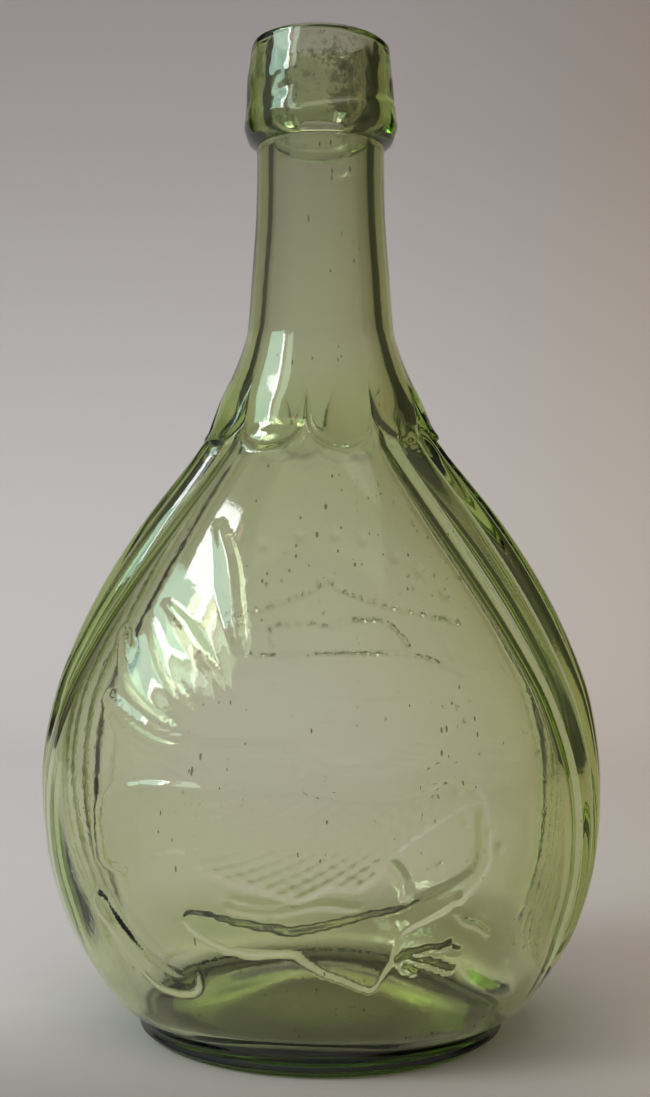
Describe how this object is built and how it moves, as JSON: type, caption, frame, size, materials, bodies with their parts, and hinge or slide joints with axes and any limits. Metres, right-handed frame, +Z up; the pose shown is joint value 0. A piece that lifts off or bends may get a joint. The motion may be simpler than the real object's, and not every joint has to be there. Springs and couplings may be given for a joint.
{
  "type": "calabash flask",
  "caption": "Pear-shaped mould-blown flask of light olive-green glass, with ribbed side edges, a ring of petals at the root of the neck and a tapered applied collar.",
  "frame": {"origin": "centre of the foot, on the plane that the flask stands on", "axes": "+Z up along the neck, X across the broad face from ribbed edge to ribbed edge, -Y out of the front face"},
  "size_m": [0.1302, 0.098, 0.23],
  "materials": {
    "glass": "light olive-green bottle glass, glossy, with seeds and fine scratches"
  },
  "bodies": {
    "root": {"blown_body": "glass", "applied_collar": "glass"}
  },
  "joints": []
}
